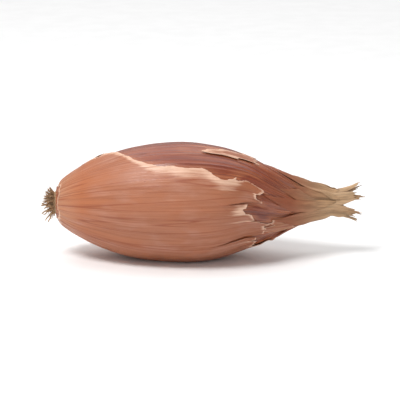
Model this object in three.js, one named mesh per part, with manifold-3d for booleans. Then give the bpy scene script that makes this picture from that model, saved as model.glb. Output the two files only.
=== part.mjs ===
// A banana shallot lying on its side, as picked and dried. The bulb is one long, softly ribbed body that
// gathers in pleats into a dried neck with torn papery tips. Its root end is a shallow dish that holds the
// root plate, with its dried roots. Millimetres, +Z up, roots towards -X, neck towards +X, and the
// best side towards -Y. The origin is under the middle of the whole, on the surface that it rests on.
import * as THREE from "three";
import { mergeVertices } from "three/addons/utils/BufferGeometryUtils.js";
import Module from "manifold-3d";

const wasm = await Module();
wasm.setup();

// The bulb, measured along its axis from the rim round the roots.
const neckEnd = 90; // where the closed neck ends and only the torn tips go on
const bellyRadius = 19.6;
const dishRadius = 4.6;
const dishDepth = 1.9;
// The outline, as points each with a distance along the axis and a radius, which a spline goes through.
const flankOutline = [
  [0.2, 5.4],
  [2, 7.7],
  [7, 11.1],
  [14, 14.5],
  [24, 17.8],
  [34, 19.3],
  [44, bellyRadius],
  [54, 18.1],
  [63, 14.7],
  [70, 11],
  [76, 7.7],
  [82, 5.1],
  [87, 3.8],
  [neckEnd - 0.6, 2.9],
];

// Angles go round the axis: 0 is the far side, a quarter turn is up, and half a turn is the near side.
// How the round section is changed: a flank pressed by its sister bulb, a groove between two scales, ribs
// over the veins of the skin, and pleats where the skin gathers into the neck.
const pressedFlank = { at: 0.7, halfWidth: 1.15, share: 0.06 };
const groove = { at: -2.75, width: 0.17, depth: 0.7 };
const ribs = { count: 15, width: 0.13, low: 0.12, high: 0.36, from: 2, full: 18 };
const pleats = { count: 7, depth: 0.14, from: 60, full: 84 };
const neckTwist = 0.55; // radians, over the pleated length
const neckFlatness = 0.12; // the neck is this much taller than round, and this much thinner

// The axis is a shallow bow, most of it level: the belly stands this far from the line between the ends.
const bow = { towardsViewer: 3, up: 1.4 };

// The bulb lies on a small flat spot, pressed this far into its round side. The ends of the axis then stand
// at the rest height over the floor.
const pressedIn = 0.5;
const restHeight = bellyRadius - bow.up - pressedIn;

// Torn papery tips at the end of the neck.
const tips = { count: 5, sunk: 9, shortest: 4.5, longest: 9.5, width: 5, thickness: 0.8, fromAxis: 1.3 };

// The root plate and its dried roots, trimmed short. The gap keeps the plate clear of the dish.
const plateGap = 0.35;
const plateFront = 1.4;
const roots = { count: 36, shortest: 1.2, longest: 4.2, base: 0.5, end: 0.34, sunk: 1.2 };
const rootsKeptInside = 1.3; // the outermost roots start this far inside the edge of the dish
const leastLean = 0.1; // radians from the axis, at the middle of the plate
const mostLean = 1.15; // and at its edge

const aroundSteps = 64;
const alongSteps = 40;

const goldenRatio = (Math.sqrt(5) - 1) / 2;
const fullTurn = Math.PI * 2;

// A number from 0 to 1 for each index, spread evenly, so that repeats differ by a rule.
function spread(index, offset = 0) {
  return ((index + 1) * goldenRatio + offset) % 1;
}

function mix(low, high, share) {
  return low + (high - low) * share;
}

// A bump of height 1 round an angle, measured the short way round.
function bump(angle, centre, width) {
  const away = angle - centre - fullTurn * Math.round((angle - centre) / fullTurn);
  return Math.exp(-((away / width) ** 2));
}

// Where the axis runs, at a distance along it.
function axisAt(along) {
  const share = Math.sin((Math.PI * along) / neckEnd);
  return { y: -bow.towardsViewer * share, z: bow.up * share };
}

// The height of the ribs and the groove at an angle.
function ribHeight(angle) {
  let height = -groove.depth * bump(angle, groove.at, groove.width);
  for (let i = 0; i < ribs.count; i += 1) {
    const centre = ((i + 0.5 * spread(i)) / ribs.count) * fullTurn;
    height += mix(ribs.low, ribs.high, spread(i, 0.37)) * bump(angle, centre, ribs.width);
  }
  return height;
}

// Moves a point of the evenly turned body to its place on the real one.
function unevenPoint(point) {
  const radius = Math.hypot(point.y, point.z);
  const angle = Math.atan2(point.z, point.y);
  const flank = THREE.MathUtils.smoothstep(point.x, ribs.from, ribs.full);
  const neck = THREE.MathUtils.smoothstep(point.x, pleats.from, pleats.full);
  const belly = flank * (1 - neck);
  const facing = Math.cos(angle - pressedFlank.at);
  const pressed = THREE.MathUtils.smoothstep(facing, Math.cos(pressedFlank.halfWidth), 1);
  let share = 1 - pressedFlank.share * belly * pressed;
  share += pleats.depth * neck * Math.cos(pleats.count * angle);
  const out = radius * share + ribHeight(angle) * belly;
  const turned = angle + neckTwist * neck;
  const axis = axisAt(point.x);
  point.y = axis.y + out * Math.cos(turned) * (1 - neckFlatness * neck);
  point.z = axis.z + out * Math.sin(turned) * (1 + neckFlatness * neck);
}

// Moves every vertex of a geometry by a rule.
function reshape(geometry, rule) {
  const place = geometry.getAttribute("position");
  const point = new THREE.Vector3();
  for (let i = 0; i < place.count; i += 1) {
    rule(point.fromBufferAttribute(place, i));
    place.setXYZ(i, point.x, point.y, point.z);
  }
  return geometry;
}

// A solid turned round the X axis from points that each have a radius and a distance along it.
function turned(points, steps) {
  return new THREE.LatheGeometry(points, steps).rotateZ(-Math.PI / 2);
}

function solidOf(geometry) {
  const bare = geometry.clone();
  bare.deleteAttribute("normal");
  bare.deleteAttribute("uv");
  const merged = mergeVertices(bare, 1e-4);
  return new wasm.Manifold(
    new wasm.Mesh({
      numProp: 3,
      vertProperties: new Float32Array(merged.getAttribute("position").array),
      triVerts: new Uint32Array(merged.getIndex().array),
    }),
  );
}

function geometryOf(solid) {
  const { vertProperties, triVerts } = solid.getMesh();
  const geometry = new THREE.BufferGeometry();
  geometry.setAttribute("position", new THREE.BufferAttribute(vertProperties, 3));
  geometry.setIndex(new THREE.BufferAttribute(triVerts, 1));
  geometry.computeVertexNormals();
  return geometry;
}

// The bulb's own body: the dish at the root end, its rounded rim, the flank and the closed end of the neck.
function bulbBody() {
  const flank = flankOutline.map(([along, radius]) => new THREE.Vector2(radius, along));
  const dish = new THREE.Path()
    .moveTo(0, dishDepth)
    .lineTo(dishRadius * 0.8, dishDepth)
    .quadraticCurveTo(dishRadius, dishDepth, dishRadius, dishDepth * 0.5)
    .quadraticCurveTo(dishRadius, -dishDepth * 0.1, flank[0].x, flank[0].y);
  const outline = [
    ...dish.getSpacedPoints(6),
    ...new THREE.SplineCurve(flank).getSpacedPoints(alongSteps).slice(1),
    new THREE.Vector2(0, neckEnd),
  ];
  return reshape(turned(outline, aroundSteps), unevenPoint);
}

// One torn tip: a tapering blade that starts inside the neck, leans outward and curls a little.
function tornTip(index) {
  const length = tips.sunk + mix(tips.shortest, tips.longest, spread(index, 0.2));
  const lean = mix(0.6, 2.6, spread(index, 0.6));
  const curl = mix(-1.5, 1.5, spread(index, 0.9));
  const blade = new THREE.BoxGeometry(length, tips.width, tips.thickness, 7, 2, 1);
  reshape(blade, (point) => {
    const share = point.x / length + 0.5;
    const bend = share * share;
    point.x = neckEnd - tips.sunk + share * length;
    point.y = point.y * mix(1, 0.3, bend) + curl * bend;
    point.z += tips.fromAxis + lean * bend;
  });
  return blade.rotateX(fullTurn * (index / tips.count + 0.08 * spread(index)));
}

// The plate that the roots grow from, domed in front, sitting clear in the dish.
function rootPlate() {
  const edge = dishRadius - plateGap;
  const outline = new THREE.Path()
    .moveTo(0, -plateFront)
    .quadraticCurveTo(edge * 0.85, -plateFront * 0.9, edge, 0.1)
    .lineTo(edge, dishDepth * 0.4)
    .lineTo(edge * 0.75, dishDepth - plateGap)
    .lineTo(0, dishDepth - plateGap);
  return turned(outline.getSpacedPoints(9), 20);
}

// One dried root: a tapered strand, kinked and curled, growing out of the front of the plate.
function driedRoot(index) {
  const share = (index + 0.5) / roots.count;
  const length = roots.sunk + mix(roots.shortest, roots.longest, spread(index, 0.4));
  const curl = mix(-0.2, 0.3, spread(index, 0.15));
  const kink = mix(0.15, 0.45, spread(index, 0.8));
  const strand = new THREE.CylinderGeometry(roots.base, roots.end, length, 5, 3);
  reshape(strand, (point) => {
    const down = 0.5 - point.y / length;
    point.x += curl * length * down * down;
    point.z += kink * Math.sin(down * 5 + index);
    point.y = roots.sunk - down * length;
  });
  strand.rotateZ(mix(leastLean, mostLean, share));
  const fromMiddle = (dishRadius - rootsKeptInside) * Math.sqrt(share);
  const front = -plateFront * (1 - 0.45 * share * share);
  return strand.translate(fromMiddle, front, 0).rotateZ(-Math.PI / 2).rotateX(index * goldenRatio * fullTurn);
}

// The space below the floor, which is cut off the bulb.
function floorBelow() {
  const depth = 20;
  return new THREE.BoxGeometry(200, 100, depth).translate(neckEnd / 2, 0, -restHeight - depth / 2);
}

function bulb() {
  let solid = solidOf(bulbBody());
  for (let i = 0; i < tips.count; i += 1) solid = solid.add(solidOf(tornTip(i)));
  return geometryOf(solid.subtract(solidOf(floorBelow())));
}

function rootTuft() {
  let solid = solidOf(rootPlate());
  for (let i = 0; i < roots.count; i += 1) solid = solid.add(solidOf(driedRoot(i)));
  return geometryOf(solid);
}

// Adds one named piece with its colour and finish.
function addPiece(name, geometry, finish) {
  const mesh = new THREE.Mesh(geometry, new THREE.MeshStandardMaterial(finish));
  mesh.name = name;
  shallot.add(mesh);
}

const shallot = new THREE.Group();
addPiece("bulb", bulb(), { color: "#ab7052", roughness: 0.42, metalness: 0 });
addPiece("root_tuft", rootTuft(), { color: "#b09366", roughness: 0.85, metalness: 0 });

// The origin goes under the middle of the whole, at the height of the flat spot.
const middle = new THREE.Box3().setFromObject(shallot).getCenter(new THREE.Vector3());
shallot.position.set(-middle.x, -middle.y, restHeight);

export default shallot;
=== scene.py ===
"""The finished looks of a banana shallot that lies on its side.

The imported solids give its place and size. Over them go a shiny inner skin with veins, the torn outer skin
with its lifted edges, dry paper round the neck, the root plate and its dried roots. Lengths in the shape
functions are millimetres in the shallot's own frame, where X runs along its axis from the rim round the
roots, and they become metres in the frame of the solids as each mesh is finished.
"""

import functools
import math
from collections import namedtuple

import bmesh
import bpy
from bpy.props import FloatProperty, FloatVectorProperty, IntProperty, PointerProperty
from mathutils import Matrix, Vector, noise


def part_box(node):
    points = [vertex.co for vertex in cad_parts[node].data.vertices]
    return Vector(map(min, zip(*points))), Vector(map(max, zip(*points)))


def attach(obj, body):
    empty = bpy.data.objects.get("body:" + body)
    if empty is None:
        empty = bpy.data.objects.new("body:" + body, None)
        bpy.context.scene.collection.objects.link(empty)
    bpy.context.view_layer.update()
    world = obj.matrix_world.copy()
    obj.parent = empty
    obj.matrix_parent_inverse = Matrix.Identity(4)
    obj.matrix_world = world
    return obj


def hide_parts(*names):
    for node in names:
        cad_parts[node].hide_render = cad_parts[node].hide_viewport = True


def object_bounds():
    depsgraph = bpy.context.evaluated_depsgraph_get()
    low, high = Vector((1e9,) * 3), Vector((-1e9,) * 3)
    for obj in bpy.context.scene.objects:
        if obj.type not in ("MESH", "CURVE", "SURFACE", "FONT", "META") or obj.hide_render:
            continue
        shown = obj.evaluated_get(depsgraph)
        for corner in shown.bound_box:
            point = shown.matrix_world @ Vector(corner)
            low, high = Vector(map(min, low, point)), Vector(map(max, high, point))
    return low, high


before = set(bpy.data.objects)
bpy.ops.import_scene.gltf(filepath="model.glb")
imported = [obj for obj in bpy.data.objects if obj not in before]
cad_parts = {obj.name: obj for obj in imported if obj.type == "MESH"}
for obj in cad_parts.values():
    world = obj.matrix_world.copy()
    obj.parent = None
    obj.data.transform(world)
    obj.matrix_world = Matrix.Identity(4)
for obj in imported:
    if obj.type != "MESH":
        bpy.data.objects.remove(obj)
SOLID_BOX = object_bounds()

bl_info = {
    "name": "Banana shallot",
    "version": (1, 0, 0),
    "blender": (4, 5, 0),
    "location": "View3D > Sidebar > Shallot",
    "description": "Builds a banana shallot with torn papery skin, a dried neck and dried roots",
    "category": "Object",
}

MM = 0.001
FULL_TURN = 2 * math.pi
GOLDEN = (math.sqrt(5) - 1) / 2

# The form of the solids: the outline is points of distance along the axis and radius.
NECK_END = 90.0
BELLY_RADIUS = 19.6
BELLY_STRETCH = (30, 60)  # where the flank comes nearest to the viewer
DISH_RADIUS = 4.6
DISH_DEPTH = 1.9
RIM_FRONT = 0.1
FLANK_OUTLINE = [
    (0.2, 5.4),
    (2, 7.7),
    (7, 11.1),
    (14, 14.5),
    (24, 17.8),
    (34, 19.3),
    (44, BELLY_RADIUS),
    (54, 18.1),
    (63, 14.7),
    (70, 11),
    (76, 7.7),
    (82, 5.1),
    (87, 3.8),
    (NECK_END - 0.6, 2.9),
]
SPLINE_STEPS = 40  # from each of these points to the next
SOLID_SIDES = 64  # facets of the solids round the axis

# Angles go round the axis: 0 is the far side, a quarter turn is up, and half a turn is the near side.
PRESSED_FLANK = {"at": 0.7, "half_width": 1.15, "share": 0.06}
GROOVE = {"at": -2.75, "width": 0.17, "depth": 0.7}
RIBS = {"count": 15, "width": 0.13, "low": 0.12, "high": 0.36, "start": 2, "full": 18}
PLEATS = {"count": 7, "depth": 0.14, "start": 60, "full": 84}
NECK_TWIST = 0.55
NECK_FLATNESS = 0.12
BOW_TOWARDS_VIEWER = 3.0
BOW_UP = 1.4
PRESSED_IN = 0.5
REST_HEIGHT = BELLY_RADIUS - BOW_UP - PRESSED_IN
TIPS = {"shortest": 4.5, "longest": 9.5, "flare": 1.1}
PLATE_GAP = 0.35
PLATE_FRONT = 1.4
ROOTS = {"count": 36, "shortest": 1.2, "longest": 4.2, "base": 0.5, "sunk": 1.2}
ROOT_BENDS = {"curl": (-0.2, 0.3), "kink": (0.15, 0.45)}
ROOTS_KEPT_INSIDE = 1.3
LEAST_LEAN = 0.1
MOST_LEAN = 1.15

# Stretches along the axis where one form gives way to the next.
PAST_ROOT_END = (3, 12)
INTO_NECK = (72, 86)
UNDER_PAPER = (66, 78)

# Smooth unevenness: its height, the length and width of its grains in millimetres, and its seed.
Grain = namedtuple("Grain", "height length width seed")
DENTS = Grain(0.24, 16, 12, 1)
CRUMPLES = Grain(0.06, 4, 2.5, 8)
RAGGED_EDGE = (Grain(0.55, 7, 3, 4), Grain(0.3, 1.6, 1, 6), Grain(0.14, 0.6, 0.5, 2))
LOOSE_EDGE = (Grain(0.4, 11, 9, 12), Grain(0.35, 3, 2.5, 14))
CREASE_WANDER = Grain(1, 9, 5, 3)
WINDOW_WANDER = Grain(0.16, 9, 20, 41)
ROOT_EDGE_WANDER = Grain(0.8, 4, 8, 15)
PATCH_WANDER = Grain(1.5, 6, 1.3, 33)
BAND_WANDER = Grain(0.55, 8, 6, 51)
GLOW_WANDER = Grain(2.5, 10, 5, 61)

# Fine creases round the root end, and where the skin gathers to the neck, with where they come and go.
ROOT_CREASES = {"count": 31, "depth": 0.11, "wander": 2.5}
NECK_CREASES = {"count": 23, "depth": 0.2, "wander": 3}
FINE_NECK_CREASES = {"count": 41, "depth": 0.1, "wander": -4}
ROOT_CREASES_GO = (1.5, 9)
NECK_CREASES_COME = (56, 76)
NECK_CREASES_GO = (80, 90)
NARROW_NECK = 8  # the radius under which the creases get shallower

# Veins differ in place by a share of their spacing, wander by another, and fade along a length.
VEINS = {"unequal": 0.6, "wander": 0.25, "wander_length": 14, "fade_length": 9, "weakest": 0.2}

# The torn window in the outer skin, on top of the shallot: a wedge that opens from its tip near the roots.
WINDOW = {"near_edge": 2.4, "far_edge": -0.35, "tip_at": 1.5, "tip": 10, "full": 37}

# The outer skin is torn off round the roots, and ends in strips of two widths, slanted to one side.
ROOT_EDGE = {"along": 0.9, "count": 23, "reach": 0.35, "seed": 0.8}
TORN_END = {"along": 67, "slant": 3.5, "slant_at": 2.2}
WIDE_STRIPS = {"count": 19, "reach": 4.5, "seed": 0.1}
NARROW_STRIPS = {"count": 47, "reach": 1.6, "seed": 0.4}
STRIP_SLANT = 1.5
STRIP_STEP = (0.8, 1)  # the part of a strip's width where the next one's end takes over
SHEET_FROM, SHEET_TO = 0.3, 82  # the sheet is first made between these places, then torn
LEAST_ISLAND = 100  # faces, below which a torn-off bit has fallen away

# How torn edges lift, and how far from them they lie flat again.
CURL = {"looseness": 0.45, "tightest": 0.12, "falls_over": 1.5, "from": 3, "full": 10}
SPLIT_CURL = {"height": 0.35, "falls_over": 0.7}
PATCH_GRIP = 1.4  # a left-over patch holds on, and curls only as a place this much further inside does
SKIN_OVER_OUTLINE = 0.05
SKIN_OVER_FLOOR = 0.02

# The pale band along torn edges, bleaching and, beside the window, a painted highlight: the stretch there
# where it is wide, and its shares elsewhere.
BAND_WIDENS = (20, 33)
BAND_NARROWS = (57, 63)
BAND_AT_ROOTS = 0.12
BAND_ELSEWHERE = 0.25
PATCH_BAND = 3  # how many times narrower the band of a left-over patch is
GLOW_WIDTH = 4  # of the warmer colour under a torn edge

# What is left of the outer skin past its edges, and splits in it from its torn end, with their tips.
REMNANTS = [
    {"along": 73, "at": 3.55, "length": 5.2, "width": 3.2},
    {"along": 57, "at": 1.85, "length": 7.5, "width": 2.2},
    {"along": 52, "at": 0.75, "length": 15, "width": 2.4},
]
SPLITS = [{"at": 2.95, "tip": 54}, {"at": 3.75, "tip": 49}, {"at": 5.1, "tip": 50}]
SPLIT_OPENING = 0.04

# Strips of dry paper round the neck: the least and the most of each measure, and the ragged end.
PAPER = {
    "start": (66, 78),
    "width": (2.2, 4.4),
    "lift": (0.3, 0.7),
    "opening": (0.2, 2),
    "swirl": (-0.5, 0.6),
}
PAPER_TEAR = 2.2
PAPER_FINE_TEAR = 1.2
PAPER_GRID = {"x_segments": 12, "y_segments": 48}
SHORT_PAPER = {"tip": 0.2, "opening": 0.4}

# The root plate's faces, how steep its dome is, and its lumps and rings.
PLATE = {"sides": 96, "steps": 18, "dome": 1.4, "lump": 0.16, "ring": 0.12, "rings": 4.2}

# The two kinds of root: the share of the solid ones' radius and their length, and their faces.
STRONG_ROOT = {"radius": 0.76, "length": (1, 1), "sides": 8, "cuts": 9}
FINE_ROOT = {"radius": 0.36, "length": (0.55, 1.1), "sides": 5, "cuts": 5}
ROOT_TIP = 0.45  # its radius, as a share of the base's

# The lights: size, place and the point they are aimed at, in metres.
KEY_LIGHT = {"size": 0.3, "location": (-0.3, -0.26, 0.66), "target": (0, 0, 0.02)}
TOP_LIGHT = {"size": 3.0, "location": (0, 1.2, 1.8), "target": (0, 0.7, 0)}
FILL_LIGHT = {"size": 0.8, "location": (0.1, -0.9, 0.5), "target": (0, 0, 0.02)}
FILL_SHARE = 0.25  # of the main light's power
SENSOR_WIDTH = 36


def linear(hex_colour):
    """Turns an sRGB hex colour into the linear colour that a shader takes, with alpha."""
    values = [int(hex_colour[i : i + 2], 16) / 255 for i in (1, 3, 5)]
    return [v / 12.92 if v <= 0.04045 else ((v + 0.055) / 1.055) ** 2.4 for v in values] + [1.0]


def spread(index, offset=0.0):
    """A number from 0 to 1 for each index, spread evenly, so that repeats differ by a rule."""
    return ((index + 1) * GOLDEN + offset) % 1.0


def mix(low, high, share):
    return low + (high - low) * share


def smooth_step(value, start, end):
    share = min(1.0, max(0.0, (value - start) / (end - start)))
    return share * share * (3 - 2 * share)


def short_way(angle):
    """An angle brought between half a turn back and half a turn on."""
    return angle - FULL_TURN * round(angle / FULL_TURN)


def bump(away, width):
    return math.exp(-((away / width) ** 2))


def waver(along, angle, *grains):
    """The height of some smooth unevenness at a place on the skin, the sum of its grains."""
    height = 0.0
    for grain in grains:
        around = BELLY_RADIUS / grain.width
        y, z = math.cos(angle) * around, math.sin(angle) * around + grain.seed
        height += grain.height * noise.noise((along / grain.length + grain.seed, y, z))
    return height


def outline_table():
    """Close points of the outline, by the same spline as the solids."""
    table = []
    last = len(FLANK_OUTLINE) - 1
    for step in range(last * SPLINE_STEPS + 1):
        index = min(step // SPLINE_STEPS, last - 1)
        t = step / SPLINE_STEPS - index
        before, start, end, after = (FLANK_OUTLINE[min(max(index + k, 0), last)] for k in (-1, 0, 1, 2))
        point = []
        for p0, p1, p2, p3 in zip(before, start, end, after):
            v0, v1 = (p2 - p0) / 2, (p3 - p1) / 2
            cubic = (2 * p1 - 2 * p2 + v0 + v1) * t**3 + (3 * p2 - 3 * p1 - 2 * v0 - v1) * t**2
            point.append(cubic + v0 * t + p1)
        table.append(tuple(point))
    return table


OUTLINE = outline_table()


def radius_at(along):
    """The outline's radius. Past the closed neck it opens a little, as the torn tips do."""
    if along >= OUTLINE[-1][0]:
        past = (along - OUTLINE[-1][0]) / TIPS["longest"]
        return OUTLINE[-1][1] + TIPS["flare"] * past * past
    low, high = 0, len(OUTLINE) - 1
    while high - low > 1:
        middle = (low + high) // 2
        if OUTLINE[middle][0] <= along:
            low = middle
        else:
            high = middle
    (x0, r0), (x1, r1) = OUTLINE[low], OUTLINE[high]
    return r0 + (r1 - r0) * (along - x0) / (x1 - x0)


def even_alongs(count, start=0, end=NECK_END):
    """Distances along the axis, from the start to the end, whose points on the outline are evenly spaced."""
    points = [point for point in OUTLINE if start <= point[0] <= end]
    lengths = [0.0]
    for (x0, r0), (x1, r1) in zip(points, points[1:]):
        lengths.append(lengths[-1] + math.hypot(x1 - x0, r1 - r0))
    result = []
    index = 0
    for step in range(count + 1):
        wanted = lengths[-1] * step / count
        while index < len(lengths) - 2 and lengths[index + 1] < wanted:
            index += 1
        share = (wanted - lengths[index]) / (lengths[index + 1] - lengths[index])
        result.append(mix(points[index][0], points[index + 1][0], share))
    return result


@functools.cache
def rib_height(angle):
    """The height of the ribs and the groove at an angle."""
    height = -GROOVE["depth"] * bump(short_way(angle - GROOVE["at"]), GROOVE["width"])
    for i in range(RIBS["count"]):
        away = short_way(angle - (i + 0.5 * spread(i)) / RIBS["count"] * FULL_TURN)
        height += mix(RIBS["low"], RIBS["high"], spread(i, 0.37)) * bump(away, RIBS["width"])
    return height


def on_flank(along, angle, radius, lift=0.0):
    """A point of the shallot, in its own frame, for a place on the evenly turned body. Lift is outward."""
    flank = smooth_step(along, RIBS["start"], RIBS["full"])
    neck = smooth_step(along, PLEATS["start"], PLEATS["full"])
    belly = flank * (1 - neck)
    facing = math.cos(angle - PRESSED_FLANK["at"])
    pressed = smooth_step(facing, math.cos(PRESSED_FLANK["half_width"]), 1)
    share = 1 - PRESSED_FLANK["share"] * belly * pressed
    share += PLEATS["depth"] * neck * math.cos(PLEATS["count"] * angle)
    out = radius * share + lift
    if belly > 0:
        out += rib_height(round(angle, 4)) * belly
    turned = angle + NECK_TWIST * neck
    bend = math.sin(math.pi * along / NECK_END)
    y = out * math.cos(turned) * (1 - NECK_FLATNESS * neck) - BOW_TOWARDS_VIEWER * bend
    z = out * math.sin(turned) * (1 + NECK_FLATNESS * neck) + BOW_UP * bend
    return Vector((along, y, z))


def frame_shift():
    """How far the shallot's own frame stands from the frame of the solids, in millimetres."""
    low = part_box("bulb")[0] / MM
    angles = [i / SOLID_SIDES * FULL_TURN for i in range(SOLID_SIDES)]
    near = min(on_flank(a, angle, radius_at(a)).y for a in range(*BELLY_STRETCH) for angle in angles)
    return Vector((low.x - RIM_FRONT, low.y - near, REST_HEIGHT))


SHIFT = frame_shift()


def vein_at(along, angle, count, width, seed):
    """How strong a vein is at a place on the skin, from 0 to 1. Veins run along it and wander a little."""
    spacing = FULL_TURN / count
    nearest = math.floor((angle % FULL_TURN) / spacing)
    strongest = 0.0
    for i in (nearest - 1, nearest, nearest + 1):
        k = i % count
        aside = VEINS["unequal"] * (spread(k, seed) - 0.5)
        aside += VEINS["wander"] * noise.noise((along / VEINS["wander_length"] + seed, k * 7.3, seed))
        away = short_way(angle - (i + 0.5 + aside) * spacing)
        if abs(away) < 3 * width:
            fading = 0.75 + 0.5 * noise.noise((along / VEINS["fade_length"], k * 3.1, seed + 5))
            strength = mix(VEINS["weakest"], 1, spread(k, seed + 0.3))
            strongest = max(strongest, strength * fading * bump(away, width))
    return min(1.0, strongest)


def puckers(along, angle):
    """The height of the fine creases: short ones round the root end, and longer ones towards the neck."""
    wander = waver(along, angle, CREASE_WANDER)
    at_root = 1 - smooth_step(along, *ROOT_CREASES_GO)
    at_neck = smooth_step(along, *NECK_CREASES_COME) * (1 - 0.5 * smooth_step(along, *NECK_CREASES_GO))
    at_neck *= min(1.0, radius_at(along) / NARROW_NECK)
    height = 0.0
    for creases, share in ((ROOT_CREASES, at_root), (NECK_CREASES, at_neck), (FINE_NECK_CREASES, at_neck)):
        turns = creases["count"] * angle + creases["wander"] * wander
        height += share * creases["depth"] * math.cos(turns)
    return height


def finish_mesh(bm, name):
    """Moves a mesh from the shallot's own frame to the frame of the solids and makes its object."""
    bmesh.ops.translate(bm, verts=bm.verts, vec=SHIFT)
    bmesh.ops.scale(bm, verts=bm.verts, vec=(MM, MM, MM))
    mesh = bpy.data.meshes.new(name)
    bm.to_mesh(mesh)
    bm.free()
    mesh.shade_smooth()
    piece = bpy.data.objects.new(name, mesh)
    bpy.context.scene.collection.objects.link(piece)
    return piece


def hold(piece, slot, material, *nodes):
    """Rides a finished piece on the one body, with its material and the nodes that it replaces. The slot is
    not used.
    """
    piece.data.materials.append(material)
    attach(piece, "root")
    if nodes:
        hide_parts(*nodes)


def keep_above(bm, height):
    """Nothing reaches below this height over the floor: there the skin is pressed flat."""
    for vert in bm.verts:
        vert.co.z = max(vert.co.z, height - REST_HEIGHT)


def add_node(tree, kind, inputs=None, output=0, stops=(), **settings):
    """Adds a node with its settings, inputs and colour stops, and gives its output. An input is a value, or
    a socket to link it to."""
    node = tree.nodes.new("ShaderNode" + kind)
    for name, value in settings.items():
        setattr(node, name, value)
    for name, value in (inputs or {}).items():
        if isinstance(value, bpy.types.NodeSocket):
            tree.links.new(value, node.inputs[name])
        else:
            node.inputs[name].default_value = value
    if stops:
        ramp = node.color_ramp.elements
        for position, _ in stops[1:-1]:
            ramp.new(position)
        for element, (position, colour) in zip(ramp, stops):
            element.position = position
            element.color = colour
    return node.outputs[output] if node.outputs else None


def new_tree(name):
    """The empty node tree of a new material."""
    material = bpy.data.materials.new(name)
    material.use_nodes = True
    material.node_tree.nodes.clear()
    return material, material.node_tree


def along_fibres(tree, place, length_mm, width_mm, seed):
    """The place on the skin, scaled so that one unit is this long and this wide on the belly. Patterns on it
    follow the fibres, and draw together towards the ends as they do."""
    scale = (NECK_END / length_mm, BELLY_RADIUS / width_mm, BELLY_RADIUS / width_mm)
    inputs = {"Vector": place, "Location": (seed, seed, seed), "Scale": scale}
    return add_node(tree, "Mapping", inputs, "Vector")


def fibres(tree, place, length_mm, width_mm, detail, seed):
    """Noise whose grains are this long and this wide. Real fibres are about 0.05 mm wide, which is too fine
    to show, so they are drawn as bundles of ten or more."""
    scaled = along_fibres(tree, place, length_mm, width_mm, seed)
    inputs = {"Vector": scaled, "Scale": 1.0, "Detail": detail, "Roughness": 0.6}
    return add_node(tree, "TexNoise", inputs, "Fac")


def fine_lines(tree, place, length_mm, width_mm, line_width, seed):
    """Thin wandering lines that follow the fibres: 1 on a line and 0 between lines."""
    noise_value = fibres(tree, place, length_mm, width_mm, 0.0, seed)
    aside = add_node(tree, "Math", {0: noise_value, 1: 0.5}, operation="SUBTRACT")
    away = add_node(tree, "Math", {0: aside}, operation="ABSOLUTE")
    return add_node(tree, "MapRange", {"Value": away, "From Max": line_width, "To Min": 1.0, "To Max": 0.0})


def skin_cells(tree, place, length_mm, width_mm):
    """The long flat cells that dry skin is made of: 0 on a border, 1 inside a cell. Real ones are about
    0.3 mm long, which is too fine to show, so they are drawn about five times as large."""
    scaled = along_fibres(tree, place, length_mm, width_mm, 0.0)
    inputs = {"Vector": scaled, "Scale": 1.0}
    borders = add_node(tree, "TexVoronoi", inputs, "Distance", feature="DISTANCE_TO_EDGE")
    return add_node(tree, "MapRange", {"Value": borders, "From Max": 0.12})


def stain(tree, under, colour, pattern, low, high, most):
    """Lays a colour over another: none of it where the pattern is low, and this share where it is high."""
    share = add_node(
        tree,
        "MapRange",
        {"Value": pattern, "From Min": low, "From Max": high, "To Max": most},
        interpolation_type="SMOOTHSTEP",
    )
    return add_node(tree, "Mix", {0: share, 6: under, 7: colour}, 2, data_type="RGBA")


def finish_surface(tree, colour, gloss, smoothest, roughest, relief, depth, **values):
    """The shader itself: roughness follows one pattern, and the relief, this deep in metres, another."""
    spans = {"From Min": 0.3, "From Max": 0.7, "To Min": smoothest, "To Max": roughest}
    roughness = add_node(tree, "MapRange", {"Value": gloss, **spans})
    normal = add_node(tree, "Bump", {"Strength": 1.0, "Distance": depth, "Height": relief})
    inputs = {"Base Color": colour, "Roughness": roughness, "Normal": normal, "IOR": 1.42, **values}
    add_node(tree, "OutputMaterial", {"Surface": add_node(tree, "BsdfPrincipled", inputs)})


def inner_skin_material(colours):
    """Moist scale leaf, grown: a soft oily gloss over red-brown, with darker veins drawn along it."""
    material, tree = new_tree("satin_inner_skin")
    place = add_node(tree, "Attribute", output="Vector", attribute_name="place")
    along = add_node(tree, "SeparateXYZ", {"Vector": place}, "X")
    vein = add_node(tree, "Attribute", output="Fac", attribute_name="vein")
    beside_tear = add_node(tree, "Attribute", output="Fac", attribute_name="beside_tear")
    blotch = fibres(tree, place, 26, 9, 3.0, 0.0)
    streak = fibres(tree, place, 34, 1.0, 4.0, 5.0)
    line = fine_lines(tree, place, 60, 2.2, 0.035, 11.0)
    cell = skin_cells(tree, place, 1.6, 0.35)
    stops = [
        (0.0, colours.root_end),
        (0.16, colours.mauve),
        (0.42, colours.red_brown),
        (0.72, colours.red_brown),
        (0.84, colours.copper),
        (0.93, colours.dry_tan),
        (1.0, colours.dry_olive),
    ]
    colour = add_node(tree, "ValToRGB", {"Fac": along}, "Color", stops)
    colour = stain(tree, colour, colours.mauve, blotch, 0.42, 0.68, 0.5)
    colour = stain(tree, colour, colours.orange, beside_tear, 0.1, 1.0, 0.75)
    colour = stain(tree, colour, colours.deep_red, streak, 0.4, 0.7, 0.7)
    colour = stain(tree, colour, colours.deep_red, vein, 0.15, 0.9, 0.7)
    colour = stain(tree, colour, colours.deep_red, line, 0.0, 1.0, 0.6)
    relief = add_node(tree, "Mix", {0: 0.2, 2: streak, 3: cell})
    soft = {"Subsurface Weight": 0.12, "Subsurface Radius": (1.0, 0.4, 0.25), "Subsurface Scale": 2 * MM}
    oily = {"Coat Weight": 0.22, "Coat Roughness": 0.3}
    finish_surface(tree, colour, streak, 0.18, 0.34, relief, 0.06 * MM, **soft, **oily)
    return material


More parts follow.
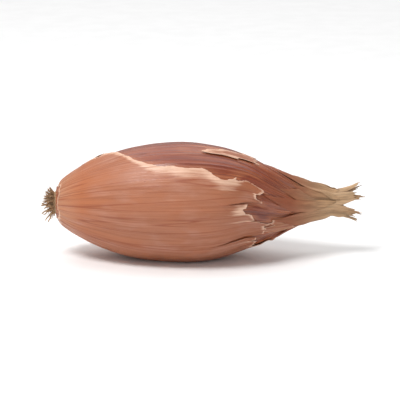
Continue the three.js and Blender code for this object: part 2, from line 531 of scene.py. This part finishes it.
def outer_skin_material(colours):
    """Dry papery leaf, grown and torn: a dull sheen over orange-tan, with dark veins and pale edges,
    bleaching plus painted highlight.
    """
    material, tree = new_tree("papery_outer_skin")
    place = add_node(tree, "Attribute", output="Vector", attribute_name="place")
    along = add_node(tree, "SeparateXYZ", {"Vector": place}, "X")
    vein = add_node(tree, "Attribute", output="Fac", attribute_name="vein")
    edge = add_node(tree, "Attribute", output="Fac", attribute_name="edge")
    warm_blotch = fibres(tree, place, 18, 8, 3.0, 2.0)
    pale_blotch = fibres(tree, place, 12, 6, 2.0, 9.0)
    streak = fibres(tree, place, 28, 0.8, 4.0, 7.0)
    line = fine_lines(tree, place, 70, 2.6, 0.03, 21.0)
    speck = fibres(tree, place, 0.9, 0.7, 1.0, 4.0)
    fraying = fibres(tree, place, 16, 0.5, 3.0, 13.0)
    cell = skin_cells(tree, place, 1.8, 0.4)
    stops = [
        (0.0, colours.root_end),
        (0.1, colours.orange),
        (0.24, colours.tan),
        (0.55, colours.tan),
        (0.75, colours.copper),
        (0.9, colours.dry_tan),
    ]
    colour = add_node(tree, "ValToRGB", {"Fac": along}, "Color", stops)
    colour = stain(tree, colour, colours.orange, warm_blotch, 0.4, 0.7, 0.6)
    colour = stain(tree, colour, colours.lilac, pale_blotch, 0.45, 0.72, 0.45)
    colour = stain(tree, colour, colours.copper, streak, 0.42, 0.7, 0.75)
    colour = stain(tree, colour, colours.red_brown, vein, 0.2, 0.9, 0.65)
    colour = stain(tree, colour, colours.red_brown, line, 0.0, 1.0, 0.65)
    colour = stain(tree, colour, colours.deep_red, speck, 0.76, 0.84, 0.6)
    # The pale band: bleaching at torn edges, widened beside the window into a painted highlight.
    bleached_and_highlit = add_node(tree, "Math", {0: fraying, 1: 1.6, 2: edge}, operation="MULTIPLY_ADD")
    colour = stain(tree, colour, colours.pale_edge_and_highlight, bleached_and_highlit, 0.95, 1.85, 0.85)
    relief = add_node(tree, "Mix", {0: 0.2, 2: streak, 3: cell})
    finish_surface(tree, colour, streak, 0.3, 0.5, relief, 0.08 * MM)
    return material


def dry_paper_material(colours):
    """Dead leaf, dried brown on the plant: dull, fibrous, and olive-tan towards its torn ends."""
    material, tree = new_tree("dried_neck_paper")
    place = add_node(tree, "Attribute", output="Vector", attribute_name="place")
    along = add_node(tree, "SeparateXYZ", {"Vector": place}, "X")
    strip = add_node(tree, "Attribute", output="Fac", attribute_name="shade")
    fibre = fibres(tree, place, 14, 0.45, 4.0, 3.0)
    blotch = fibres(tree, place, 6, 3, 2.0, 8.0)
    paper = stain(tree, colours.dry_tan, colours.dry_olive, blotch, 0.42, 0.66, 1.0)
    paper = stain(tree, paper, colours.light_root, strip, 0.0, 1.0, 0.5)
    living = stain(tree, colours.red_brown, colours.copper, strip, 0.0, 1.0, 1.0)
    colour = stain(tree, living, paper, along, 0.74, 0.9, 1.0)
    colour = stain(tree, colour, colours.dark_root, fibre, 0.45, 0.7, 0.6)
    finish_surface(tree, colour, fibre, 0.5, 0.74, fibre, 0.09 * MM)
    return material


def root_material(colours, name, grain_mm):
    """Corky dried root tissue, trimmed: dull tan-brown, lighter and darker in small patches."""
    material, tree = new_tree(name)
    place = add_node(tree, "TexCoord", output="Object")
    shade = add_node(tree, "Attribute", output="Fac", attribute_name="shade")
    inputs = {"Vector": place, "Scale": 1 / (grain_mm * MM), "Detail": 3.0}
    patch = add_node(tree, "TexNoise", inputs, "Fac")
    colour = stain(tree, colours.dark_root, colours.light_root, shade, 0.0, 1.0, 1.0)
    colour = stain(tree, colour, colours.dry_tan, patch, 0.4, 0.7, 0.6)
    finish_surface(tree, colour, patch, 0.75, 0.9, patch, 0.15 * MM)
    return material


def floor_material(colours):
    """White painted board, rolled: dull and even, with a very faint mottle."""
    material, tree = new_tree("white_painted_board")
    place = add_node(tree, "TexCoord", output="Object")
    mottle = add_node(tree, "TexNoise", {"Vector": place, "Scale": 1 / (16 * MM)}, "Fac")
    colour = stain(tree, colours.floor, colours.floor_shade, mottle, 0.3, 0.7, 1.0)
    finish_surface(tree, colour, mottle, 0.88, 0.92, mottle, 0.02 * MM)
    return material


def turned_body(chain, around_steps):
    """A body turned round the axis from points that each have a distance along it and a radius."""
    bm = bmesh.new()
    rows = len(chain) - 1
    bmesh.ops.create_grid(bm, x_segments=around_steps, y_segments=rows, size=0.5)
    for vert in bm.verts:
        along, radius = chain[round((vert.co.y + 0.5) * rows)]
        angle = (0.5 - vert.co.x) * FULL_TURN
        vert.co = (along, radius * math.cos(angle), radius * math.sin(angle))
    bmesh.ops.remove_doubles(bm, verts=bm.verts, dist=1e-4)
    bmesh.ops.recalc_face_normals(bm, faces=bm.faces)
    return bm


def body_chain(along_steps):
    """The profile of the body: dish, rim, flank and a round closed neck."""
    chain = [(DISH_DEPTH, 0.0), (DISH_DEPTH, DISH_RADIUS * 0.5), (DISH_DEPTH, DISH_RADIUS * 0.85)]
    corner = 6
    for step in range(1, corner + 1):
        turn = step / corner
        chain.append((DISH_DEPTH * (1 - turn), DISH_RADIUS + (OUTLINE[0][1] - DISH_RADIUS) * turn**3))
    chain += [(along, radius_at(along)) for along in even_alongs(along_steps)]
    end, neck_radius = OUTLINE[-1]
    for step in range(1, corner + 1):
        turn = step / corner * math.pi / 2
        chain.append((end + neck_radius * 0.6 * math.sin(turn), neck_radius * math.cos(turn)))
    return chain


def place_on_body(co):
    """The distance along the axis, the radius and the angle of a point of the evenly turned body."""
    return co.x, math.hypot(co.y, co.z), math.atan2(co.z, co.y)


def build_inner_skin(form, colours):
    """The shiny inner skin: the whole body, from the dish of the roots to the closed neck."""
    bm = turned_body(body_chain(form.along_steps), form.around_steps)
    place_layer = bm.verts.layers.float_vector.new("place")
    vein_layer = bm.verts.layers.float.new("vein")
    beside_tear_layer = bm.verts.layers.float.new("beside_tear")
    for vert in bm.verts:
        along, radius, angle = place_on_body(vert.co)
        vein = vein_at(along, angle, form.vein_count, form.vein_width, 0.0)
        body = smooth_step(along, *PAST_ROOT_END) * (1 - smooth_step(along, *INTO_NECK))
        lift = puckers(along, angle) - form.skin_gap / MM * (1 - smooth_step(along, *UNDER_PAPER))
        lift += body * (form.vein_height / MM * vein + waver(along, angle, DENTS))
        if along < NECK_END / 2:  # the dish itself keeps its form
            lift *= smooth_step(radius, DISH_RADIUS + 0.3, DISH_RADIUS + 1.5)
        bare = max(0.0, -cover_at(along, angle))
        glow = GLOW_WIDTH + waver(along, angle, GLOW_WANDER)
        vert[beside_tear_layer] = 1 - smooth_step(bare, 0, glow)
        vert[place_layer] = (along / NECK_END, math.cos(angle), math.sin(angle))
        vert[vein_layer] = vein
        vert.co = on_flank(along, angle, radius, lift)
    keep_above(bm, form.skin_gap / MM)
    hold(finish_mesh(bm, "inner_skin"), "skin", inner_skin_material(colours), "bulb")


def torn_strip(along, angle, strips):
    """How far the strips between two veins are torn back, in millimetres. Each one's end is slanted, and a
    steep step along the fibres parts it from the next. Strips differ in width and length by a rule."""
    count, seed = strips["count"], strips["seed"]
    where = angle / FULL_TURN * count + 0.3 * math.sin(5 * angle + 9 * seed)
    where += waver(along, angle, Grain(0.25, 5, 4, seed))
    index = math.floor(where)
    share = where - index
    ends = []
    for strip, place in ((index % count, share), ((index + 1) % count, share - 1)):
        slant = STRIP_SLANT * (spread(strip, seed + 0.5) - 0.5)
        ends.append(2 * spread(strip, seed) - 1 + slant * (place - 0.5))
    return strips["reach"] * mix(ends[0], ends[1], smooth_step(share, *STRIP_STEP))


def width_radius(along):
    """The radius that turns angles into widths on the skin, never so small that they run together."""
    return max(3.0, radius_at(along))


def in_window(along, angle):
    """How far inside the torn window a place is, in millimetres."""
    opened = smooth_step(along, WINDOW["tip"], WINDOW["full"])
    half = (WINDOW["near_edge"] - WINDOW["far_edge"]) / 2
    middle = mix(WINDOW["tip_at"], WINDOW["far_edge"] + half, opened)
    wander = 0.05 * math.sin(along / 7) + waver(along, angle, WINDOW_WANDER)
    inside = (opened * (half + wander) - abs(short_way(angle - middle))) * width_radius(along)
    return min(inside, along - WINDOW["tip"])


def in_sheet(along, angle):
    """How far inside the sheet of outer skin a place is, in millimetres."""
    end = TORN_END["along"] + TORN_END["slant"] * math.sin(angle + TORN_END["slant_at"])
    end += torn_strip(along, angle, WIDE_STRIPS) + torn_strip(along, angle, NARROW_STRIPS)
    start = ROOT_EDGE["along"] + torn_strip(along, angle, ROOT_EDGE) + waver(along, angle, ROOT_EDGE_WANDER)
    ragged = waver(along, angle, *RAGGED_EDGE)
    return min(min(end - along, -in_window(along, angle)) + ragged, along - start)


def in_patch(along, angle):
    """How far inside a left-over patch of the outer skin a place is, in millimetres."""
    deepest = -math.inf
    for remnant in REMNANTS:
        past = along - remnant["along"]
        aside = short_way(angle - remnant["at"]) * width_radius(along) + 0.12 * past
        away = math.hypot(past / remnant["length"], aside / remnant["width"])
        deepest = max(deepest, (1 - away) * remnant["width"])
    return deepest + waver(along, angle, PATCH_WANDER, *RAGGED_EDGE)


def from_split(along, angle):
    """How far from a split in the outer skin a place is, in millimetres."""
    nearest = math.inf
    for split in SPLITS:
        past = along - split["tip"]
        wander = 0.5 * math.sin(along / 4 + split["tip"])
        aside = short_way(angle - split["at"]) * width_radius(along) + wander
        nearest = min(nearest, math.hypot(aside, min(0.0, past)) - SPLIT_OPENING * max(0.0, past))
    return nearest


def cover_at(along, angle):
    """How far inside the outer skin a place is, in millimetres. Below 0 the skin is torn away."""
    return min(max(in_sheet(along, angle), in_patch(along, angle)), from_split(along, angle))


def pull_to_edge(along, angle, reach):
    """Moves a place near a torn edge onto it, by no more than the reach, in millimetres."""
    small = 0.05
    for _ in range(2):
        radius = width_radius(along)
        cover = cover_at(along, angle)
        slope_along = (cover_at(along + small, angle) - cover) / small
        slope_around = (cover_at(along, angle + small / radius) - cover) / small
        steep = max(0.2, slope_along**2 + slope_around**2)
        step = max(-reach, min(reach, -cover)) / steep
        along += max(-reach, min(reach, step * slope_along))
        angle += max(-reach, min(reach, step * slope_around)) / radius
    return along, angle


def drop_crumbs(bm):
    """Deletes the bits of a torn sheet that are too small to stay on, and those that hang by a corner."""
    left = set(bm.faces)
    crumbs = []
    while left:
        island = [left.pop()]
        for face in island:
            joined = {other for edge in face.edges for other in edge.link_faces} & left
            left -= joined
            island += joined
        if len(island) < LEAST_ISLAND:
            crumbs += island
    bmesh.ops.delete(bm, geom=crumbs, context="FACES")


def part_corners(bm):
    """Where two bits of a torn sheet touch at one corner only, draws the corner of each back a little."""
    for vert in list(bm.verts):
        if sum(edge.is_boundary for edge in vert.link_edges) > 2:
            corners = [vert, *bmesh.utils.vert_separate(vert, [])]
            for corner in corners:
                middle = sum((face.calc_center_median() for face in corner.link_faces), Vector())
                corner.co = corner.co.lerp(middle / len(corner.link_faces), 0.3)


def torn_sheet(chain, around_steps):
    """The part of the evenly turned body that the outer skin covers, with finer faces at its torn edges."""
    bm = turned_body(chain, around_steps)
    cell = FULL_TURN * BELLY_RADIUS / around_steps

    def cover_of(face):
        along, _, angle = place_on_body(face.calc_center_median())
        return cover_at(along, angle)

    # Faces well clear of the sheet go first. Those near its edges are quartered before the rest are cut.
    cover = {face: cover_of(face) for face in bm.faces}
    bmesh.ops.delete(bm, geom=[face for face in bm.faces if cover[face] < -3 * cell], context="FACES")
    near = {edge for face in bm.faces if abs(cover[face]) < 2.5 * cell for edge in face.edges}
    bmesh.ops.subdivide_edges(bm, edges=list(near), cuts=1, use_grid_fill=True)
    bmesh.ops.delete(bm, geom=[face for face in bm.faces if cover_of(face) < 0], context="FACES")
    drop_crumbs(bm)
    for vert in bm.verts:
        along, _, angle = place_on_body(vert.co)
        if vert.is_boundary:
            along, angle = pull_to_edge(along, angle, cell * 0.4)
        radius = radius_at(along)
        vert.co = (along, radius * math.cos(angle), radius * math.sin(angle))
    part_corners(bm)
    return bm


def band_share(along, angle):
    """How wide the pale band is at a place, as a share of its most. It is widest along the sides of the
    window, where it is a painted highlight as well as bleaching, and narrow round the roots and at the torn
    end."""
    beside_window = smooth_step(along, *BAND_WIDENS) * (1 - smooth_step(along, *BAND_NARROWS))
    elsewhere = mix(BAND_AT_ROOTS, BAND_ELSEWHERE, smooth_step(along, 4, 12))
    return mix(elsewhere, 1, beside_window) * (1 + waver(along, angle, BAND_WANDER))


def edge_curl(along, angle, inside, highest):
    """How far a torn edge lifts at a place this far inside it, in millimetres: more where it is loose, and a
    little beside a split."""
    loose = max(0.0, CURL["looseness"] + waver(along, angle, *LOOSE_EDGE))
    curl = highest * math.exp(-inside / CURL["falls_over"]) * mix(CURL["tightest"], 1, loose)
    away = max(0.0, from_split(along, angle))
    beside_split = SPLIT_CURL["height"] * math.exp(-away / SPLIT_CURL["falls_over"])
    return max(curl, beside_split) * smooth_step(along, CURL["from"], CURL["full"])


def build_outer_skin(form, colours):
    """The torn outer skin: a thin sheet round the body, cut to its torn edges and lifted along them."""
    alongs = even_alongs(form.sheet_along_steps, SHEET_FROM, SHEET_TO)
    bm = torn_sheet([(along, radius_at(along)) for along in alongs], form.sheet_around_steps)
    place_layer = bm.verts.layers.float_vector.new("place")
    vein_layer = bm.verts.layers.float.new("vein")
    edge_layer = bm.verts.layers.float.new("edge")
    for vert in bm.verts:
        along, radius, angle = place_on_body(vert.co)
        sheet, patch = in_sheet(along, angle), in_patch(along, angle)
        curl = edge_curl(along, angle, max(0.0, sheet, patch + PATCH_GRIP), form.curl_height / MM)
        vein = vein_at(along, angle, form.vein_count, form.vein_width, 0.5)
        raised = 0.6 * form.vein_height / MM * vein + waver(along, angle, DENTS, CRUMPLES)
        raised *= smooth_step(along, *PAST_ROOT_END)
        lift = SKIN_OVER_OUTLINE + curl + raised + puckers(along, angle)
        # The edge attribute holds the pale band: bleaching at torn edges, and beside the window a painted
        # highlight.
        band = form.band_width / MM * band_share(along, angle)
        vert[place_layer] = (along / NECK_END, math.cos(angle), math.sin(angle))
        vert[vein_layer] = vein
        vert[edge_layer] = 1 - smooth_step(max(0.0, sheet, PATCH_BAND * patch), 0, band)
        vert.co = on_flank(along, angle, radius, lift)
    keep_above(bm, SKIN_OVER_FLOOR)
    piece = finish_mesh(bm, "outer_skin")
    solid = piece.modifiers.new("thickness", "SOLIDIFY")
    solid.thickness = form.sheet_thickness
    solid.offset = -1.0
    hold(piece, "skin", outer_skin_material(colours))


def join_into(whole, part):
    """Moves one mesh's faces into another."""
    mesh = bpy.data.meshes.new("part")
    part.to_mesh(mesh)
    part.free()
    whole.from_mesh(mesh)
    bpy.data.meshes.remove(mesh)


def neck_strip(index, count):
    """One strip of dry paper along the neck: a grid wrapped round it, with a ragged end that opens out."""
    long_tip = index % 3 != 1
    start = mix(*PAPER["start"], spread(index, 0.1))
    tip = mix(TIPS["shortest"], TIPS["longest"], spread(index, 0.2))
    end = NECK_END + (tip if long_tip else tip * SHORT_PAPER["tip"])
    middle_angle = FULL_TURN * (index + 0.4 * (spread(index) - 0.5)) / count
    width = mix(*PAPER["width"], spread(index, 0.55))
    lift = mix(*PAPER["lift"], spread(index, 0.75))
    opening = mix(*PAPER["opening"], spread(index, 0.35)) if long_tip else SHORT_PAPER["opening"]
    swirl = mix(*PAPER["swirl"], spread(index, 0.9))
    bm = bmesh.new()
    place_layer = bm.verts.layers.float_vector.new("place")
    shade_layer = bm.verts.layers.float.new("shade")
    bmesh.ops.create_grid(bm, size=0.5, **PAPER_GRID)
    for vert in bm.verts:
        across, share = 2 * vert.co.x, vert.co.y + 0.5
        tear = PAPER_TEAR * noise.noise((across * 2.3, index * 5.1, 0.0))
        tear += PAPER_FINE_TEAR * noise.noise((across * 7, index * 2.7, 4.0))
        along = mix(start + 2.5 * abs(across), end + tear, share)
        narrowing = mix(1.0, 0.3, smooth_step(along, NECK_END - 2, NECK_END + TIPS["longest"]))
        narrowing *= mix(0.35, 1.0, smooth_step(share, 0, 0.3))
        radius = radius_at(along)
        past = max(0.0, along - NECK_END + 4) / (TIPS["longest"] + 4)
        angle = middle_angle + swirl * past - across * width * narrowing / (2 * max(2.2, radius))
        ripple = 0.2 * noise.noise((along / 3, across * 2.2, index * 1.7))
        rolled = 0.35 * across * across * mix(-0.6, 1, spread(index, 0.65)) * smooth_step(share, 0.3, 0.8)
        vert[place_layer] = (along / (NECK_END + TIPS["longest"]), math.cos(angle), math.sin(angle))
        vert[shade_layer] = spread(index, 0.45)
        raised = lift * smooth_step(share, 0, 0.15) + ripple + rolled + opening * past * past
        vert.co = on_flank(along, angle, radius, raised)
    return bm


def build_neck_paper(form, colours):
    """Strips of dry paper round the neck, which end in torn tips."""
    bm = bmesh.new()
    bm.verts.layers.float_vector.new("place")
    bm.verts.layers.float.new("shade")
    for index in range(form.neck_strips):
        join_into(bm, neck_strip(index, form.neck_strips))
    bmesh.ops.recalc_face_normals(bm, faces=bm.faces)
    piece = finish_mesh(bm, "neck_paper")
    solid = piece.modifiers.new("thickness", "SOLIDIFY")
    solid.thickness = form.sheet_thickness
    solid.offset = 0.0
    hold(piece, "skin", dry_paper_material(colours))


def build_root_plate(colours):
    """The corky plate that the roots grow from, domed and lumpy, in its dish."""
    edge = DISH_RADIUS - PLATE_GAP
    back = DISH_DEPTH - PLATE_GAP
    chain = [(-PLATE_FRONT, 0.0)]
    for step in range(1, PLATE["steps"] + 1):
        turn = step / PLATE["steps"] * math.pi / 2
        front = (PLATE_FRONT + RIM_FRONT) * math.cos(turn) ** PLATE["dome"]
        chain.append((RIM_FRONT - front, edge * math.sin(turn)))
    chain += [(back * 0.4, edge), (back, edge * 0.75), (back, 0.0)]
    bm = turned_body(chain, PLATE["sides"])
    shade_layer = bm.verts.layers.float.new("shade")
    for vert in bm.verts:
        lump = noise.noise(vert.co * 1.1) + 0.5 * noise.noise(vert.co * 2.6)
        ring = 0.5 + 0.5 * math.cos(math.hypot(vert.co.y, vert.co.z) * PLATE["rings"])
        vert[shade_layer] = min(1.0, max(0.0, 0.35 + 0.3 * lump + 0.3 * ring))
        if vert.co.x < RIM_FRONT:
            vert.co.x += PLATE["lump"] * lump - PLATE["ring"] * ring
    cork = root_material(colours, "corky_root_plate", 0.8)
    hold(finish_mesh(bm, "root_plate"), "roots", cork, "root_tuft")


def dried_root(index, count, kind):
    """One dried root: a tapered strand, kinked and curled, growing out of the front of the plate."""
    share = (index + 0.5) / count
    length = ROOTS["sunk"] + mix(ROOTS["shortest"], ROOTS["longest"], spread(index, 0.4))
    length *= mix(*kind["length"], spread(index, 0.71))
    curl = mix(*ROOT_BENDS["curl"], spread(index, 0.15))
    kink = mix(*ROOT_BENDS["kink"], spread(index, 0.8))
    radius = ROOTS["base"] * kind["radius"]
    bm = bmesh.new()
    shade_layer = bm.verts.layers.float.new("shade")
    ends = {"radius1": radius, "radius2": radius * ROOT_TIP}
    bmesh.ops.create_cone(bm, cap_ends=True, segments=kind["sides"], depth=length, **ends)
    uprights = [edge for edge in bm.edges if edge.calc_length() > length * 0.9]
    bmesh.ops.subdivide_edges(bm, edges=uprights, cuts=kind["cuts"], use_grid_fill=True)
    shade = spread(index, 0.27)
    for vert in bm.verts:
        down = vert.co.z / length + 0.5
        knob = 1 + 0.22 * noise.noise((down * 5, index * 3.7, 1.0))
        x, y = vert.co.x * knob, vert.co.y * knob
        x += curl * length * down * down + 0.6 * noise.noise((down * 3, index * 1.3, 7.0)) * down
        y += kink * math.sin(down * 5 + index) + 0.6 * noise.noise((down * 3, index * 2.3, 9.0)) * down
        y += 0.7 * (spread(index, 0.61) - 0.5) * length * down * down
        vert.co = (x, y, ROOTS["sunk"] - down * length)
        vert[shade_layer] = mix(shade, 0.1, down * 0.5)
    lean = Matrix.Rotation(-mix(LEAST_LEAN, MOST_LEAN, share), 3, "Y")
    bmesh.ops.rotate(bm, verts=bm.verts, matrix=lean)
    from_middle = (DISH_RADIUS - ROOTS_KEPT_INSIDE) * math.sqrt(share)
    bmesh.ops.translate(bm, verts=bm.verts, vec=(from_middle, 0, -PLATE_FRONT * (1 - 0.45 * share * share)))
    turn = Matrix.Rotation(index * GOLDEN * FULL_TURN, 3, "X") @ Matrix.Rotation(math.pi / 2, 3, "Y")
    bmesh.ops.rotate(bm, verts=bm.verts, matrix=turn)
    return bm


def build_roots(form, colours):
    """The dried roots: the strong ones where the solids have them, and finer ones between them."""
    bm = bmesh.new()
    bm.verts.layers.float.new("shade")
    for kind, count in ((STRONG_ROOT, ROOTS["count"]), (FINE_ROOT, form.fine_roots)):
        for index in range(count):
            join_into(bm, dried_root(index, count, kind))
    bmesh.ops.recalc_face_normals(bm, faces=bm.faces)
    hold(finish_mesh(bm, "dried_roots"), "roots", root_material(colours, "dried_root_fibre", 0.6))


def add_light(name, power, size, location, target):
    lamp = bpy.data.lights.new(name, "AREA")
    lamp.shape = "DISK"
    lamp.size = size
    lamp.energy = power
    light = bpy.data.objects.new(name, lamp)
    light.location = location
    light.rotation_euler = (Vector(target) - Vector(location)).to_track_quat("-Z", "Y").to_euler()
    bpy.context.scene.collection.objects.link(light)


def build_stage(form, colours):
    """The plain pale floor, the soft lights and the camera at the photograph's angle."""
    bm = bmesh.new()
    bmesh.ops.create_grid(bm, x_segments=8, y_segments=8, size=form.floor_size / 2)
    mesh = bpy.data.meshes.new("floor")
    bm.to_mesh(mesh)
    bm.free()
    mesh.materials.append(floor_material(colours))
    floor = bpy.data.objects.new("floor", mesh)
    bpy.context.scene.collection.objects.link(floor)

    world = bpy.data.worlds.new("soft_white_room")
    world.use_nodes = True
    background = world.node_tree.nodes["Background"]
    background.inputs["Color"].default_value = linear("#FFFFFF")
    background.inputs["Strength"].default_value = form.room_light
    bpy.context.scene.world = world
    add_light("key", form.key_power, **KEY_LIGHT)
    add_light("top", form.top_power, **TOP_LIGHT)
    add_light("fill", form.key_power * FILL_SHARE, **FILL_LIGHT)

    low, high = SOLID_BOX
    middle = (low + high) / 2
    camera_data = bpy.data.cameras.new("camera")
    camera_data.lens = form.lens
    camera_data.sensor_width = SENSOR_WIDTH
    width = (high.x - low.x) / form.frame_share
    distance = width * camera_data.lens / camera_data.sensor_width
    camera = bpy.data.objects.new("camera", camera_data)
    back = Vector((0, -math.cos(form.camera_elevation), math.sin(form.camera_elevation)))
    camera.location = middle + back * distance
    camera.rotation_euler = (-back).to_track_quat("-Z", "Y").to_euler()
    bpy.context.scene.collection.objects.link(camera)
    bpy.context.scene.camera = camera
    bpy.context.scene.view_settings.view_transform = "Standard"


def colour_property(name, description, hex_colour):
    return FloatVectorProperty(
        name=name, description=description, subtype="COLOR", size=4, min=0, max=1, default=linear(hex_colour)
    )


class ShallotForm(bpy.types.PropertyGroup):
    skin_gap: FloatProperty(
        name="Skin gap",
        description="How far the inner skin lies under the outer one",
        default=0.35 * MM,
        unit="LENGTH",
    )
    vein_count: IntProperty(name="Veins", description="Veins round the belly", default=60)
    vein_width: FloatProperty(name="Vein width", description="Half of a vein", default=0.017, subtype="ANGLE")
    vein_height: FloatProperty(
        name="Vein height", description="How far a strong vein stands out", default=0.22 * MM, unit="LENGTH"
    )
    around_steps: IntProperty(name="Steps round", description="Faces round the inner skin", default=440)
    along_steps: IntProperty(name="Steps along", description="Faces along the inner skin", default=170)
    sheet_around_steps: IntProperty(name="Sheet round", description="Faces round the sheet", default=250)
    sheet_along_steps: IntProperty(name="Sheet along", description="Faces along the sheet", default=150)
    sheet_thickness: FloatProperty(
        name="Sheet thickness", description="Thickness of the dry skin", default=0.14 * MM, unit="LENGTH"
    )
    curl_height: FloatProperty(
        name="Curl", description="How far the loosest torn edge lifts", default=0.9 * MM, unit="LENGTH"
    )
    # The pale band: bleaching at torn edges, and beside the window a painted highlight.
    band_width: FloatProperty(
        name="Pale band", description="Width of a bleached torn edge", default=6.2 * MM, unit="LENGTH"
    )
    neck_strips: IntProperty(name="Neck strips", description="Strips of dry paper round the neck", default=17)
    fine_roots: IntProperty(name="Fine roots", description="Thin roots between the strong ones", default=110)
    floor_size: FloatProperty(name="Floor", description="Side of the floor", default=3.0, unit="LENGTH")
    room_light: FloatProperty(name="Room light", description="Strength of the light all round", default=0.4)
    key_power: FloatProperty(
        name="Key light", description="Power of the main light", default=4.2, unit="POWER"
    )
    top_power: FloatProperty(
        name="Top light", description="Power of the wide light overhead", default=28.0, unit="POWER"
    )
    lens: FloatProperty(name="Lens", description="Focal length in millimetres", default=150.0, unit="CAMERA")
    frame_share: FloatProperty(
        name="Frame share", description="Share of the picture's width", default=0.8, subtype="FACTOR"
    )
    camera_elevation: FloatProperty(
        name="Camera elevation",
        description="Angle over the horizon",
        default=math.radians(14),
        subtype="ANGLE",
    )


class ShallotColours(bpy.types.PropertyGroup):
    root_end: colour_property("Root end", "Pale skin round the root plate", "#BC896A")
    orange: colour_property("Orange", "Warm orange of the outer skin", "#AF6A46")
    tan: colour_property("Tan", "Main colour of the outer skin", "#A86C50")
    lilac: colour_property("Lilac", "Pale blotches of the outer skin", "#B88977")
    copper: colour_property("Copper", "Darker streaks of the outer skin", "#975A3D")
    # The pale edge colour: bleaching at torn edges, and beside the window a painted highlight.
    pale_edge_and_highlight: colour_property("Pale edge", "Bleached torn edges", "#E4BCA2")
    mauve: colour_property("Mauve", "Pale stretches of the inner skin", "#9E5A3E")
    red_brown: colour_property("Red-brown", "Main colour of the inner skin", "#8A4228")
    deep_red: colour_property("Deep red", "Veins of the inner skin", "#62241A")
    dry_tan: colour_property("Dry tan", "Dried neck", "#B48C66")
    dry_olive: colour_property("Dry olive", "Dried tips and roots", "#84684A")
    light_root: colour_property("Light root", "Light dried roots", "#CDAE8A")
    dark_root: colour_property("Dark root", "Dark dried roots", "#76573F")
    floor: colour_property("Floor", "Main colour of the floor", "#F8F8F8")
    floor_shade: colour_property("Floor shade", "Darker patches of the floor", "#F5F5F5")


class SHALLOT_OT_inner_skin(bpy.types.Operator):
    """Builds the shiny inner skin with its veins"""

    bl_idname = "shallot.inner_skin"
    bl_label = "Inner skin"

    def execute(self, context):
        build_inner_skin(context.scene.shallot_form, context.scene.shallot_colours)
        return {"FINISHED"}


class SHALLOT_OT_outer_skin(bpy.types.Operator):
    """Builds the torn papery outer skin"""

    bl_idname = "shallot.outer_skin"
    bl_label = "Outer skin"

    def execute(self, context):
        build_outer_skin(context.scene.shallot_form, context.scene.shallot_colours)
        return {"FINISHED"}


class SHALLOT_OT_neck_paper(bpy.types.Operator):
    """Builds the strips of dry paper round the neck"""

    bl_idname = "shallot.neck_paper"
    bl_label = "Neck paper"

    def execute(self, context):
        build_neck_paper(context.scene.shallot_form, context.scene.shallot_colours)
        return {"FINISHED"}


class SHALLOT_OT_root_plate(bpy.types.Operator):
    """Builds the corky root plate"""

    bl_idname = "shallot.root_plate"
    bl_label = "Root plate"

    def execute(self, context):
        build_root_plate(context.scene.shallot_colours)
        return {"FINISHED"}


class SHALLOT_OT_roots(bpy.types.Operator):
    """Builds the dried roots"""

    bl_idname = "shallot.roots"
    bl_label = "Dried roots"

    def execute(self, context):
        build_roots(context.scene.shallot_form, context.scene.shallot_colours)
        return {"FINISHED"}


class SHALLOT_OT_stage(bpy.types.Operator):
    """Builds the floor, the lights and the camera"""

    bl_idname = "shallot.stage"
    bl_label = "Stage"

    def execute(self, context):
        build_stage(context.scene.shallot_form, context.scene.shallot_colours)
        return {"FINISHED"}


STEPS = (
    SHALLOT_OT_stage,
    SHALLOT_OT_inner_skin,
    SHALLOT_OT_outer_skin,
    SHALLOT_OT_neck_paper,
    SHALLOT_OT_root_plate,
    SHALLOT_OT_roots,
)


class SHALLOT_PT_panel(bpy.types.Panel):
    """Lists the steps of the shallot in the sidebar"""

    bl_label = "Banana shallot"
    bl_idname = "SHALLOT_PT_panel"
    bl_space_type = "VIEW_3D"
    bl_region_type = "UI"
    bl_category = "Shallot"

    def draw(self, context):
        for step in STEPS:
            self.layout.operator(step.bl_idname)


CLASSES = (ShallotForm, ShallotColours, *STEPS, SHALLOT_PT_panel)


def register():
    for cls in CLASSES:
        bpy.utils.register_class(cls)
    bpy.types.Scene.shallot_form = PointerProperty(type=ShallotForm)
    bpy.types.Scene.shallot_colours = PointerProperty(type=ShallotColours)


def unregister():
    del bpy.types.Scene.shallot_colours
    del bpy.types.Scene.shallot_form
    for cls in reversed(CLASSES):
        bpy.utils.unregister_class(cls)


def main():
    register()
    bpy.ops.shallot.stage()
    bpy.ops.shallot.inner_skin()
    bpy.ops.shallot.outer_skin()
    bpy.ops.shallot.neck_paper()
    bpy.ops.shallot.root_plate()
    bpy.ops.shallot.roots()


if __name__ == "__main__":
    main()
